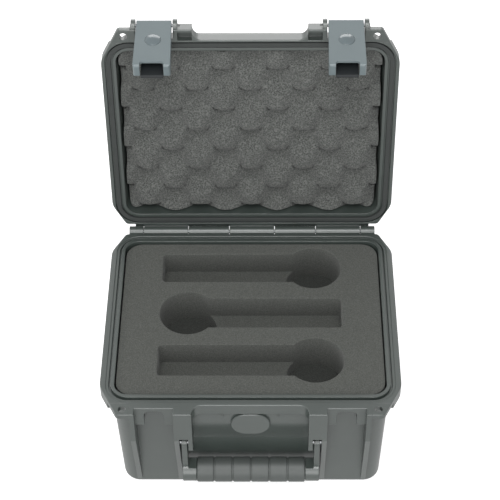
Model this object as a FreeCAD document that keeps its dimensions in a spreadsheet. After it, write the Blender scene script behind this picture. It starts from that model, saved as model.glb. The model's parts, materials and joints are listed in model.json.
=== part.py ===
import FreeCAD, Part
import math
import os
from types import SimpleNamespace
import Sketcher

# A hard carrying case for three handheld microphones, standing open.
# X runs to the right, Y to the back, Z up. The origin is on the underside,
# below the middle of the rim. Lid and latches are drawn shut, then turned open.

sizes = {
    # rim outline, the same on the base and the lid
    "rim_width": 273,
    "rim_front": 113,
    "rim_back": 113,
    "front_corner_across": 17,
    "front_corner_along": 33,
    "back_corner_across": 12.4,
    "back_corner_along": 23.4,
    "tip_round": 4,
    "side_round": 20,
    # borders from the rim's edge to the opening, and walls
    "side_border": 13.3,
    "front_border": 23,
    "back_border": 11.5,
    "opening_corner": 13,
    "wall": 3,
    "base_height": 134,
    "lid_height": 36,
    "rim_gap": 0.4,
    "base_draft": 1.8,
    "lid_draft": 4,
    "base_edge_round": 6,
    "lid_edge_round": 9,
    "inside_bevel": 3,
    "flange_thickness": 12.3,
    "lid_flange_thickness": 11.3,
    "panel_inset": 22,
    "panel_depth": 1.2,
    "panel_round": 12,
    "rim_edge_round": 0.8,
    # sealing edge
    "tongue_width": 3.4,
    "tongue_height": 1,
    "moat_width": 1.9,
    "moat_depth": 3,
    "seat_width": 2.7,
    "seat_depth": 0.5,
    "lip_width": 2.9,
    "lip_recess": 1.8,
    "lip_gap": 1.4,
    "gasket_width": 4.3,
    "gasket_proud": 0.1,
    "drip_width": 1.3,
    "channel_depth": 2.8,
    # front of the rim
    "recess_depth": 11,
    "recess_round": 9,
    "tab_thickness": 5,
    "tab_reach": 18,
    "tab_root": 1.5,
    "padlock_radius": 3.5,
    "padlock_inset": 22,
    "padlock_setback": 6.8,
    "latch_inset": 50,
    "bay_width": 34.6,
    "rib_thickness": 4.6,
    "rib_shoulder": 38,
    "rib_foot_reach": 1.3,
    "rib_foot_height": 9,
    "rib_toe": 4,
    "catch_setback": 7.4,
    "catch_height": 23,
    "catch_lip": 3,
    "hook_groove_width": 5.6,
    "hook_groove_depth": 4,
    "notch_width": 18,
    "notch_top": 4,
    "notch_round": 6,
    # handle brackets and the wall behind the handle
    "cheek_inset": 12.1,
    "cheek_thickness": 4,
    "cheek_reach": 8,
    "cheek_heel": 16,
    "cover_height": 36,
    "cover_thickness": 5,
    "cove_inset": 2.2,
    "cove_straight": 28,
    "cove_drop": 64,
    "cove_round": 60,
    # handle
    "handle_setback": 8.5,
    "handle_drop": 49.5,
    "grip_drop": 41,
    "grip_forward": 1,
    "grip_radius": 11.7,
    "grip_core_radius": 8,
    "grip_inset": 13,
    "grip_groove_pitch": 17,
    "grip_groove_width": 1.6,
    "grip_groove_depth": 0.8,
    "arm_inset": 1.6,
    "arm_thickness": 5,
    "arm_half_depth": 5.4,
    "corner_radius": 10.8,
    "corner_round": 8,
    "corner_top": 9,
    "handle_pin_radius": 2.5,
    "handle_pin_bite": 3.2,
    # hinge
    "hinge_back": 6.4,
    "hinge_below": 3,
    "barrel_radius": 5.2,
    "hinge_pin_radius": 2,
    "barrel_inset": 3.1,
    "end_knuckle": 14,
    "inner_knuckle": 22.3,
    "middle_knuckle": 62.8,
    "knuckle_gap": 0.6,
    "knuckle_root": 2,
    "lid_web_height": 8,
    "lid_web_rise": 0.8,
    "heel_reach": 7,
    "heel_start": 300,
    "heel_sweep": 30,
    "lid_open": 95.6,
    # latch ears and lever
    "pivot_rise": 8,
    "ear_inside": 16.9,
    "ear_thickness": 4,
    "ear_radius": 6,
    "ear_root": 12.5,
    "lid_bay_setback": 9.5,
    "latch_pin_radius": 1.5,
    "latch_in": 10.6,
    "lever_head": 4.2,
    "lever_head_width": 31.5,
    "lever_tail_width": 33.2,
    "lever_length": 55,
    "lever_face": 4,
    "lever_plate": 2.5,
    "lever_side": 2.4,
    "neck_depth": 3,
    "neck_end": 15,
    "shoulder_depth": 6.8,
    "shoulder_start": 19,
    "tail_depth": 9.5,
    "tail_start": 34.5,
    "lever_hollow": 9,
    "finger_width": 21,
    "finger_depth": 5.2,
    "finger_round": 3,
    "lever_round": 2.5,
    # trigger
    "trigger_pivot_down": 18,
    "trigger_pivot_in": 1.5,
    "trigger_pin_radius": 1.25,
    "trigger_boss_radius": 2.4,
    "trigger_half_width": 10,
    "trigger_side_gap": 0.5,
    "hook_gap": 0.6,
    "hook_slack": 1.2,
    "hook_bite": 0.8,
    "hook_tip_width": 2.3,
    "hook_heel": 6,
    "trigger_skin": 2.6,
    "lip_past_lever": 1,
    "lip_depth": 11.2,
    "spring_radius": 2.3,
    # round blanking plug in the latch face
    "plug_down": 22.6,
    "plug_cap_radius": 7.35,
    "plug_cap_height": 2,
    "plug_shank_radius": 5.5,
    # padlock-side details of the pressure valve
    "valve_drop": 27.5,
    "valve_width": 36,
    "valve_height": 28,
    "valve_thickness": 2.6,
    "valve_front_setback": 10.6,
    "valve_bore_radius": 7,
    "valve_flange_radius": 9,
    "valve_flange_thickness": 2,
    "valve_vent_radius": 3,
    "membrane_thickness": 0.6,
    "valve_seal_thickness": 1.6,
    "guard_spread": 6.5,
    "guard_thickness": 1.2,
    "guard_height": 5.5,
    "guard_proud": 1.6,
    # lid pockets beside the latches
    "pocket_width": 13,
    "pocket_front_setback": 3,
    "pocket_length": 8.3,
    "pocket_depth": 7,
    # foam
    "foam_gap": 1,
    "foam_below_rim": 1.5,
    "foam_corner_extra": 4,
    "slot_width": 36.4,
    "slot_depth": 25,
    "slot_end": 85.5,
    "slot_round": 4,
    "head_radius": 26.5,
    "head_depth": 38,
    "head_offset": 59.4,
    "row_pitch": 58,
    "row_middle": 10.5,
    "lid_foam_gap": 1.8,
    "lid_foam_below_rim": 4,
    "crate_pitch": 51,
    "crate_swing": 8,
    "crate_inset": 9.5,
    # allowances
    "bore_play": 0.1,
    "overrun": 2,
    "chamfer": 0.4,
}

document = FreeCAD.newDocument("MicrophoneCase")
sheet = document.addObject("Spreadsheet::Sheet", "Sizes")
for row, (alias, value) in enumerate(sizes.items(), start=1):
    sheet.set(f"A{row}", alias)
    sheet.set(f"B{row}", str(value))
    sheet.setAlias(f"B{row}", alias)
document.recompute()


class Size:
    """A length or angle with the sheet formula that gives it."""

    def __init__(self, text, value):
        self.text = text
        self.value = value

    def __add__(self, other):
        other = sized(other)
        return Size(f"({self.text} + {other.text})", self.value + other.value)

    def __sub__(self, other):
        other = sized(other)
        return Size(f"({self.text} - {other.text})", self.value - other.value)

    def __mul__(self, other):
        other = sized(other)
        return Size(f"({self.text} * {other.text})", self.value * other.value)

    def __truediv__(self, other):
        other = sized(other)
        return Size(f"({self.text} / {other.text})", self.value / other.value)

    def __rsub__(self, other):
        return sized(other) - self

    def __neg__(self):
        return Size(f"(-{self.text})", -self.value)

    __radd__ = __add__
    __rmul__ = __mul__


def sized(item):
    """Turn a plain number into a Size."""
    return item if isinstance(item, Size) else Size(f"({item})", item)


def wave(function, angle):
    """A sine, cosine or tangent of an angle in degrees."""
    value = getattr(math, function)(math.radians(angle.value))
    return Size(f"{function}({angle.text} * 1 deg)", value)


case = SimpleNamespace(**{name: Size("Sizes." + name, value) for name, value in sizes.items()})
vector = FreeCAD.Vector
pieces = {}
facing = {
    "X": FreeCAD.Rotation(vector(0, 1, 0), vector(0, 0, 1), vector(1, 0, 0)),
    "Y": FreeCAD.Rotation(vector(1, 0, 0), vector(0, 0, 1), vector(0, -1, 0)),
    "Z": FreeCAD.Rotation(),
}
along = {
    "X": FreeCAD.Rotation(vector(0, 1, 0), 90),
    "Y": FreeCAD.Rotation(vector(1, 0, 0), -90),
    "Z": FreeCAD.Rotation(),
}
crossing = {"X": ("y", "z"), "Y": ("x", "z"), "Z": ("x", "y")}


def bind(item, **properties):
    """Bind properties of an object to sheet formulas."""
    for name, size in properties.items():
        item.setExpression(name, sized(size).text)


def stand(item, **places):
    """Bind the place of an object to sheet formulas."""
    for axis, size in places.items():
        item.setExpression("Placement.Base." + axis, sized(size).text)


def block(name, x, y, z):
    """A box between three pairs of bounds."""
    item = document.addObject("Part::Box", name)
    bind(item, Length=x[1] - x[0], Width=y[1] - y[0], Height=z[1] - z[0])
    stand(item, x=x[0], y=y[0], z=z[0])
    return item


def rod(name, radius, axis, low, high, centre):
    """A cylinder along one axis, through a centre given in the other two."""
    item = document.addObject("Part::Cylinder", name)
    item.Placement = FreeCAD.Placement(vector(), along[axis])
    bind(item, Radius=radius, Height=high - low)
    first, second = crossing[axis]
    stand(item, **{axis.lower(): low, first: centre[0], second: centre[1]})
    return item


def outline(name, corners):
    """A closed sketch through corners, each (across, up) or (across, up, radius)."""
    sketch = document.addObject("Sketcher::SketchObject", name)
    points = [vector(sized(corner[0]).value, sized(corner[1]).value, 0) for corner in corners]
    count = len(corners)
    starts = []
    ends = []
    arcs = {}
    for index, corner in enumerate(corners):
        here = points[index]
        if len(corner) == 2:
            starts.append(here)
            ends.append(here)
            continue
        radius = sized(corner[2]).value
        inward = (here - points[index - 1]).normalize()
        outward = (points[(index + 1) % count] - here).normalize()
        half_turn = inward.getAngle(outward) / 2
        ends.append(here - inward * radius * math.tan(half_turn))
        starts.append(here + outward * radius * math.tan(half_turn))
        middle = here + (outward - inward).normalize() * radius / math.cos(half_turn)
        turns_left = inward.cross(outward).z > 0
        first, last = (ends[-1], starts[-1]) if turns_left else (starts[-1], ends[-1])
        begin = math.atan2(first.y - middle.y, first.x - middle.x)
        finish = math.atan2(last.y - middle.y, last.x - middle.x)
        circle = Part.Circle(middle, vector(0, 0, 1), radius)
        arcs[index] = (Part.ArcOfCircle(circle, begin, finish), turns_left)
    lines = [Part.LineSegment(starts[i], ends[(i + 1) % count]) for i in range(count)]
    sketch.addGeometry(lines, False)
    rules = []
    formulas = []

    def measured(kind, size, *where):
        size = sized(size)
        formulas.append((len(rules), size.text))
        rules.append(Sketcher.Constraint(kind, *where, size.value))

    for index, corner in enumerate(corners):
        before = (index - 1) % count
        if index not in arcs:
            rules.append(Sketcher.Constraint("Coincident", before, 2, index, 1))
            measured("DistanceX", corner[0], -1, 1, index, 1)
            measured("DistanceY", corner[1], -1, 1, index, 1)
            continue
        arc, turns_left = arcs[index]
        bend = sketch.addGeometry(arc, False)
        mark = sketch.addGeometry(Part.Point(points[index]), True)
        entry, leave = (1, 2) if turns_left else (2, 1)
        rules.append(Sketcher.Constraint("Tangent", before, 2, bend, entry))
        rules.append(Sketcher.Constraint("Tangent", index, 1, bend, leave))
        rules.append(Sketcher.Constraint("PointOnObject", mark, 1, before))
        rules.append(Sketcher.Constraint("PointOnObject", mark, 1, index))
        measured("Radius", corner[2], bend)
        measured("DistanceX", corner[0], -1, 1, mark, 1)
        measured("DistanceY", corner[1], -1, 1, mark, 1)
    sketch.addConstraint(rules)
    for index, text in formulas:
        sketch.setExpression(f"Constraints[{index}]", text)
    return sketch


def prism(name, axis, corners, low, high):
    """An outline drawn across one axis and filled from low to high along it."""
    sketch = outline(name + "_outline", corners)
    sketch.Placement = FreeCAD.Placement(vector(), facing[axis])
    stand(sketch, **{axis.lower(): high if axis == "Y" else low})
    item = document.addObject("Part::Extrusion", name)
    item.Base = sketch
    item.DirMode = "Normal"
    item.Solid = True
    bind(item, LengthFwd=high - low)
    return item


def taper(name, low_corners, low, high_corners, high):
    """A solid that runs straight from one level outline to another."""
    sections = []
    for end, corners, level in (("low", low_corners, low), ("high", high_corners, high)):
        sketch = outline(f"{name}_{end}", corners)
        stand(sketch, z=level)
        sections.append(sketch)
    item = document.addObject("Part::Loft", name)
    item.Sections = sections
    item.Solid = True
    item.Ruled = True
    return item


def join(name, items):
    """Fuse objects into one."""
    item = document.addObject("Part::MultiFuse", name)
    item.Shapes = items
    item.Refine = True
    return item


def overlap(name, items):
    """Keep what the objects share."""
    item = document.addObject("Part::MultiCommon", name)
    item.Shapes = items
    item.Refine = True
    return item


def carve(name, base, tools):
    """Cut tools out of an object."""
    item = document.addObject("Part::Cut", name)
    item.Base = base
    item.Tool = tools[0] if len(tools) == 1 else join(name + "_tools", tools)
    item.Refine = True
    return item


def mirror(item):
    """The same object on the other side of the case."""
    twin = document.addObject("Part::Mirroring", item.Name + "_twin")
    twin.Source = item
    twin.Normal = vector(1, 0, 0)
    return twin


def both(item):
    """An object and its mirror image."""
    return [item, mirror(item)]


def soften(name, base, radius, wanted, kind="Part::Fillet"):
    """Round or bevel the edges that the test picks."""
    document.recompute()
    edges = [i for i, edge in enumerate(base.Shape.Edges, start=1) if wanted(edge)]
    item = document.addObject(kind, name)
    item.Base = base
    item.Edges = [(i, radius.value, radius.value) for i in edges]
    return item


def at_level(*levels):
    """A test for edges that lie flat at one of these heights."""
    def wanted(edge):
        box = edge.BoundBox
        flat = box.ZLength < 1e-4
        return flat and any(abs(box.ZMin - level.value) < 1e-4 for level in levels)
    return wanted


def round_edges(edge):
    """A test for whole circles."""
    return isinstance(edge.Curve, Part.Circle) and edge.isClosed()


def rectangle(right, front, back, radius, left=None):
    """Corners of a rounded rectangle, with front given as a distance toward -Y."""
    left = -right if left is None else left
    return [
        (left, -front, radius),
        (right, -front, radius),
        (right, back, radius),
        (left, back, radius),
    ]


def opening(offset, inset=0, extra=0):
    """The opening's outline, grown by an offset and drawn in by an inset."""
    grow = sized(offset) - inset
    return rectangle(
        opening_half + grow,
        opening_front + grow,
        opening_back + grow,
        case.opening_corner + offset + extra,
    )


def drafted(name, offset, low, high, rim, draft, extra=0):
    """A block inside the opening whose walls lean in with distance from the rim."""
    outlines = []
    for level in (low, high):
        depth = rim - level if draft is case.base_draft else level - rim
        outlines.append(opening(offset, depth * wave("tan", draft), extra))
    return taper(name, outlines[0], low, outlines[1], high)


def ring(name, inner, outer, low, high):
    """A band that follows the opening, between two offsets."""
    return carve(
        name,
        prism(name + "_outer", "Z", opening(outer), low, high),
        [prism(name + "_inner", "Z", opening(inner), low - case.overrun, high + case.overrun)],
    )


def stadium(name, width, height, low, high, centre):
    """A rounded bar across X with half-round ends, filled along Y."""
    radius = height / 2
    reach = (width - height) / 2
    middle = block(name + "_middle", (-reach, reach), (low, high), (centre - radius, centre + radius))
    ends = [rod(f"{name}_end", radius, "Y", low, high, (side * reach, centre)) for side in (-1, 1)]
    return join(name, [middle] + ends)


def turned(angle, y, z):
    """A turn about a line parallel to X."""
    turn = FreeCAD.Rotation(vector(1, 0, 0), angle)
    return FreeCAD.Placement(vector(), turn, vector(0, y.value, z.value))


def piece(label, item, placement=None):
    """Name an object as a piece of the case."""
    item.Label = label
    pieces[label] = (item, placement)
    return item


# levels and lines that several pieces share
rim_level = case.base_height
lid_level = case.base_height + case.rim_gap
opening_half = case.rim_width / 2 - case.side_border
opening_front = case.rim_front - case.front_border
opening_back = case.rim_back - case.back_border
wall_line = -(opening_front + case.wall / 2)
under_flange = rim_level - case.flange_thickness / 2
recess_line = -(case.rim_front - case.recess_depth)
catch_line = -(case.rim_front - case.catch_setback)
hinge_y = case.rim_back + case.hinge_back
hinge_z = rim_level - case.hinge_below
pivot_y = -case.rim_front
pivot_z = rim_level + case.pivot_rise
handle_y = -(case.rim_front - case.handle_setback)
handle_z = rim_level - case.handle_drop
barrel_end = case.rim_width / 2 - case.back_corner_across - case.barrel_inset
latch_middle = case.rim_width / 2 - case.latch_inset
rib_inside = latch_middle - case.bay_width / 2
rib_outside = latch_middle + case.bay_width / 2
bracket_outside = rib_inside - case.rib_thickness
cheek_line = bracket_outside - case.cheek_inset
arm_line = bracket_outside - case.arm_inset
tab_inside = rib_outside + case.rib_thickness
seat_reach = case.tongue_width + case.moat_width + case.seat_width
tab_line = -(opening_front + seat_reach + case.tab_root)
valve_z = rim_level - case.valve_drop
valve_line = -(case.rim_front - case.valve_front_setback)
foam_top = rim_level - case.foam_below_rim

open_lid = turned(-case.lid_open.value, hinge_y, hinge_z)
swing_latch = turned(case.latch_in.value, pivot_y, pivot_z)


def rim_plate(name, low, high):
    """The eight-cornered flange around the opening."""
    half = case.rim_width / 2
    front = -case.rim_front
    back = case.rim_back
    corners = [
        (-half + case.front_corner_across, front, case.tip_round),
        (half - case.front_corner_across, front, case.tip_round),
        (half, front + case.front_corner_along, case.side_round),
        (half, back - case.back_corner_along, case.side_round),
        (half - case.back_corner_across, back, case.tip_round),
        (-half + case.back_corner_across, back, case.tip_round),
        (-half, back - case.back_corner_along, case.side_round),
        (-half, front + case.front_corner_along, case.side_round),
    ]
    return prism(name, "Z", corners, low, high)


def front_cuts(name, low, high, bay_half, bay_line, tab_low, tab_high):
    """What the rim's front edge leaves out: the middle, the latch bays, and under or over the tabs."""
    front = case.rim_front + case.overrun
    middle = [
        (-cheek_line, -front),
        (cheek_line, -front),
        (cheek_line, recess_line, case.recess_round),
        (-cheek_line, recess_line, case.recess_round),
    ]
    recess = prism(name + "_recess", "Z", middle, low, high)
    bay = block(
        name + "_bay",
        (latch_middle - bay_half, latch_middle + bay_half),
        (-front, bay_line),
        (low, high),
    )
    tab = block(
        name + "_tab",
        (tab_inside, case.rim_width / 2 + case.overrun),
        (-front, -(case.rim_front - case.tab_reach)),
        (tab_low, tab_high),
    )
    return [recess] + both(bay) + both(tab)


def split_tabs(half, moulding, low, high):
    """Part the corner tabs, which carry the padlock holes, from the rest of a moulding: (the rest, the tabs)."""
    corner = block(
        half + "_tab_corner",
        (tab_inside, case.rim_width / 2 + case.overrun),
        (-(case.rim_front + case.overrun), tab_line),
        (low - case.overrun, high + case.overrun),
    )
    corners = both(corner)
    tabs = {
        f"{half}_tab_{side}": overlap(f"{half}_tab_{side}", [moulding, corner])
        for side, corner in zip(("right", "left"), corners)
    }
    return carve(half + "_shell", moulding, corners), tabs


def padlock_holes(name, low, high):
    """Holes through the corner tabs."""
    centre = (case.rim_width / 2 - case.padlock_inset, -(case.rim_front - case.padlock_setback))
    return both(rod(name, case.padlock_radius, "Z", low, high, centre))


def hinge_bore(name):
    """The bore that every knuckle shares."""
    reach = barrel_end + case.overrun
    return rod(name, case.hinge_pin_radius + case.bore_play, "X", -reach, reach, (hinge_y, hinge_z))


def base_rib(name, low, high):
    """A front rib beside a latch bay, pointed at its foot."""
    foot = wall_line + case.base_height * wave("tan", case.base_draft)
    corners = [
        (wall_line, under_flange),
        (pivot_y, under_flange),
        (pivot_y, rim_level - case.rib_shoulder),
        (-(opening_front + case.rib_foot_reach), case.rib_foot_height),
        (foot, case.rib_toe),
    ]
    return prism(name, "X", corners, low, high)


def base_bracket():
    """The cheek and front cover that carry one end of the handle."""
    cheek_corners = [
        (wall_line, under_flange),
        (pivot_y, under_flange),
        (pivot_y, handle_z - case.cheek_reach, case.cheek_reach - case.chamfer),
        (pivot_y + case.cheek_heel, handle_z - case.cheek_reach, case.cheek_thickness),
        (wall_line, handle_z),
    ]
    inside = cheek_line
    cheek = prism("cheek", "X", cheek_corners, inside, inside + case.cheek_thickness)
    cover = block(
        "bracket_cover",
        (inside, bracket_outside + case.rib_thickness / 2),
        (pivot_y, pivot_y + case.cover_thickness),
        (rim_level - case.cover_height, under_flange),
    )
    return both(cheek) + both(cover)


def base_cove():
    """The curved wall between the brackets, behind the handle."""
    line = recess_line + case.cove_inset
    corners = [
        (wall_line, under_flange),
        (line, under_flange),
        (line, rim_level - case.cove_straight, case.cove_round),
        (wall_line + case.wall / 2, rim_level - case.cove_drop),
    ]
    reach = cheek_line + case.cheek_thickness / 2
    return prism("cove", "X", corners, -reach, reach)


def base_shell():
    """The lower half of the case, moulded in one piece."""
    shift = wave("tan", case.base_draft)
    walls = taper(
        "base_walls",
        opening(case.wall, case.base_height * shift), sized(0),
        opening(case.wall, (rim_level - under_flange) * shift), under_flange,
    )
    walls = soften("base_walls_soft", walls, case.base_edge_round, at_level(sized(0)))
    below = rim_level - case.flange_thickness
    plate = carve(
        "base_flange",
        rim_plate("base_rim", below, rim_level),
        front_cuts(
            "base_cut", below - case.overrun, rim_level + case.overrun,
            case.bay_width / 2, catch_line,
            below - case.overrun, rim_level - case.tab_thickness,
        ),
    )
    plate = soften("base_flange_soft", plate, case.rim_edge_round, at_level(rim_level))
    catch = block(
        "catch",
        (rib_inside - case.rib_thickness / 2, rib_outside + case.rib_thickness / 2),
        (catch_line, wall_line),
        (rim_level - case.catch_height, under_flange),
    )
    added = [walls, plate, base_cove()]
    added += both(base_rib("inner_rib", bracket_outside, rib_inside))
    added += both(base_rib("outer_rib", rib_outside, tab_inside))
    added += both(catch)
    added += base_bracket()
    added.append(ring("tongue", 0, case.tongue_width, under_flange, rim_level + case.tongue_height))
    added.append(stadium(
        "valve_boss", case.valve_width - case.wall, case.valve_height - case.wall,
        valve_line + case.valve_thickness, wall_line, valve_z,
    ))
    guard = case.valve_width / 2 + case.guard_spread
    cove_line = recess_line + case.cove_inset
    added += both(block(
        "valve_guard",
        (guard, guard + case.guard_thickness),
        (cove_line - case.guard_proud, cove_line + case.wall),
        (below - case.guard_height, under_flange),
    ))
    added += base_knuckles()
    solid = join("base_solid", added)

    top = rim_level + case.tongue_height + case.overrun
    cavity = drafted("base_cavity", 0, case.wall, top, rim_level, case.base_draft)
    cavity = soften(
        "base_cavity_soft", cavity, case.inside_bevel, at_level(case.wall), "Part::Chamfer",
    )
    moat = case.tongue_width + case.moat_width
    notch_low = rim_level - case.catch_height - case.overrun
    notch_corners = [
        (latch_middle - case.notch_width / 2, notch_low),
        (latch_middle + case.notch_width / 2, notch_low),
        (latch_middle + case.notch_width / 2, rim_level - case.notch_top, case.notch_round),
        (latch_middle - case.notch_width / 2, rim_level - case.notch_top, case.notch_round),
    ]
    notch = prism(
        "catch_notch", "Y", notch_corners,
        catch_line - case.overrun, -(opening_front + case.wall),
    )
    groove_line = catch_line + case.catch_lip
    hook_groove = block(
        "hook_groove",
        (rib_inside, rib_outside),
        (groove_line, groove_line + case.hook_groove_width),
        (notch_low, rim_level - case.catch_height + case.hook_groove_depth),
    )
    pin_bore = rod(
        "handle_bore", case.handle_pin_radius + case.bore_play, "X",
        cheek_line - case.overrun, bracket_outside + case.handle_pin_bite + case.chamfer,
        (handle_y, handle_z),
    )
    valve_bore = rod(
        "valve_bore", case.valve_bore_radius + case.bore_play, "Y",
        valve_line, -(opening_front - case.wall), (sized(0), valve_z),
    )
    valve_face = valve_line + case.valve_thickness
    valve_seat = rod(
        "valve_seat", case.valve_flange_radius + case.bore_play, "Y",
        valve_line, valve_face + case.valve_flange_thickness + case.valve_seal_thickness,
        (sized(0), valve_z),
    )
    removed = [
        cavity,
        ring("moat", case.tongue_width, moat, rim_level - case.moat_depth, top),
        ring("seat", moat - case.chamfer, seat_reach, rim_level - case.seat_depth, top),
        hinge_bore("base_hinge_bore"),
        valve_bore,
        valve_seat,
    ]
    removed += both(notch) + both(hook_groove) + both(pin_bore)
    removed += padlock_holes("base_padlock", rim_level - case.flange_thickness, top)
    moulding = carve("base_moulding", solid, removed)
    shell, tabs = split_tabs("base", moulding, rim_level - case.tab_thickness, rim_level)
    piece("base_shell", shell)
    for label, tab in tabs.items():
        piece(label, tab)


def base_knuckles():
    """Hinge knuckles moulded on the base: one at each end and one each side of the middle."""
    items = []
    gap = case.knuckle_gap / 2
    spans = {
        "base_end": (barrel_end - case.end_knuckle + gap, barrel_end),
        "base_mid": (case.inner_knuckle + gap, case.middle_knuckle - gap),
    }
    for name, (low, high) in spans.items():
        barrel = rod(name + "_barrel", case.barrel_radius, "X", low, high, (hinge_y, hinge_z))
        web = block(
            name + "_web",
            (low, high),
            (case.rim_back - case.knuckle_root, hinge_y),
            (hinge_z - case.barrel_radius, rim_level - case.rim_gap),
        )
        items += both(join(name, [barrel, web]))
    return items


def lid_knuckles():
    """Hinge knuckles moulded on the lid, each with a heel that stops the lid when open."""
    gap = case.knuckle_gap / 2
    edge = barrel_end - case.end_knuckle - gap
    spans = {
        "lid_left": (-edge, -(case.middle_knuckle + gap)),
        "lid_middle": (-(case.inner_knuckle - gap), case.inner_knuckle - gap),
        "lid_right": (case.middle_knuckle + gap, edge),
    }
    root_y = case.rim_back - case.knuckle_root
    low_z = lid_level + case.lid_web_rise
    web_corners = [
        (root_y, low_z),
        (hinge_y - case.barrel_radius * wave("cos", sized(45)), low_z),
        (hinge_y, hinge_z),
        (hinge_y, hinge_z + case.barrel_radius),
        (root_y, low_z + case.lid_web_height),
    ]
    heel_corners = [(hinge_y, hinge_z)]
    for angle in (case.heel_start, case.heel_start + case.heel_sweep):
        heel_corners.append((
            hinge_y + case.heel_reach * wave("cos", angle),
            hinge_z + case.heel_reach * wave("sin", angle),
        ))
    items = []
    for name, (low, high) in spans.items():
        barrel = rod(name + "_barrel", case.barrel_radius, "X", low, high, (hinge_y, hinge_z))
        web = prism(name + "_web", "X", web_corners, low, high)
        heel = prism(name + "_heel", "X", heel_corners, low, high)
        items.append(join(name, [barrel, web, heel]))
    return items


def lid_shell():
    """The upper half of the case, drawn shut."""
    shift = wave("tan", case.lid_draft)
    top = lid_level + case.lid_height
    start = lid_level + case.lid_flange_thickness / 2
    walls = taper(
        "lid_walls",
        opening(case.wall, (start - lid_level) * shift), start,
        opening(case.wall, case.lid_height * shift), top,
    )
    walls = soften("lid_walls_soft", walls, case.lid_edge_round, at_level(top))
    above = lid_level + case.lid_flange_thickness
    bay_line = -(case.rim_front - case.lid_bay_setback)
    plate = carve(
        "lid_flange",
        rim_plate("lid_rim", lid_level, above),
        front_cuts(
            "lid_cut", lid_level - case.overrun, above + case.overrun,
            case.ear_inside, bay_line,
            lid_level + case.tab_thickness, above + case.overrun,
        ),
    )
    plate = soften("lid_flange_soft", plate, case.rim_edge_round, at_level(lid_level, above))
    ears = []
    for side, low in (("inner", -case.ear_inside - case.ear_thickness), ("outer", case.ear_inside)):
        span = (latch_middle + low, latch_middle + low + case.ear_thickness)
        tip = rod(side + "_ear_tip", case.ear_radius, "X", span[0], span[1], (pivot_y, pivot_z))
        root = block(
            side + "_ear_root",
            span,
            (pivot_y, pivot_y + case.ear_root),
            (pivot_z - case.ear_radius, pivot_z + case.ear_radius),
        )
        ears += both(join(side + "_ear", [tip, root]))
    solid = join("lid_solid", [walls, plate] + ears + lid_knuckles())

    under = lid_level - case.overrun
    cavity = drafted("lid_cavity", 0, under, top - case.wall, lid_level, case.lid_draft)
    cavity = soften(
        "lid_cavity_soft", cavity, case.inside_bevel, at_level(top - case.wall), "Part::Chamfer",
    )
    channel_end = case.lip_width + case.lip_gap + case.gasket_width + case.drip_width
    pocket = block(
        "lid_pocket",
        (cheek_line, cheek_line + case.pocket_width),
        (pivot_y + case.pocket_front_setback, pivot_y + case.pocket_front_setback + case.pocket_length),
        (under, lid_level + case.pocket_depth),
    )
    ear_bore = rod(
        "ear_bore", case.latch_pin_radius + case.bore_play, "X",
        latch_middle - case.ear_inside - case.ear_thickness - case.overrun,
        latch_middle + case.ear_inside + case.ear_thickness + case.overrun,
        (pivot_y, pivot_z),
    )
    panel = prism(
        "lid_panel", "Z",
        rectangle(
            opening_half - case.panel_inset,
            opening_front - case.panel_inset,
            opening_back - case.panel_inset,
            case.panel_round,
        ),
        top - case.panel_depth, top + case.overrun,
    )
    removed = [
        cavity,
        ring("lid_lip", -case.overrun, case.lip_width + case.overrun / 2, under, lid_level + case.lip_recess),
        ring("channel", case.lip_width, channel_end, under, lid_level + case.channel_depth),
        hinge_bore("lid_hinge_bore"),
        panel,
    ]
    removed += both(pocket) + both(ear_bore)
    removed += padlock_holes("lid_padlock", under, above)
    moulding = carve("lid_moulding", solid, removed)
    shell, tabs = split_tabs("lid", moulding, lid_level, lid_level + case.tab_thickness)
    piece("lid_shell", shell, open_lid)
    for label, tab in tabs.items():
        piece(label, tab, open_lid)


def seal():
    """The rubber gasket, seated in the lid's channel."""
    inner = case.lip_width + case.lip_gap
    low = lid_level - case.gasket_proud
    gasket = ring("gasket_band", inner, inner + case.gasket_width, low, lid_level + case.channel_depth)
    bevelled = soften("lid_gasket", gasket, case.chamfer, at_level(low), "Part::Chamfer")
    piece("lid_gasket", bevelled, open_lid)


def hinge():
    """The full-width hinge pin."""
    reach = barrel_end
    pin = rod("hinge_rod", case.hinge_pin_radius, "X", -reach, reach, (hinge_y, hinge_z))
    piece("hinge_pin", soften("hinge_pin", pin, case.chamfer, round_edges, "Part::Chamfer"))


def lever_point(down, outward, *radius):
    """A corner of the shut latch, measured down from its pivot and outward from it."""
    return (pivot_y - outward, pivot_z - down, *radius)


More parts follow.
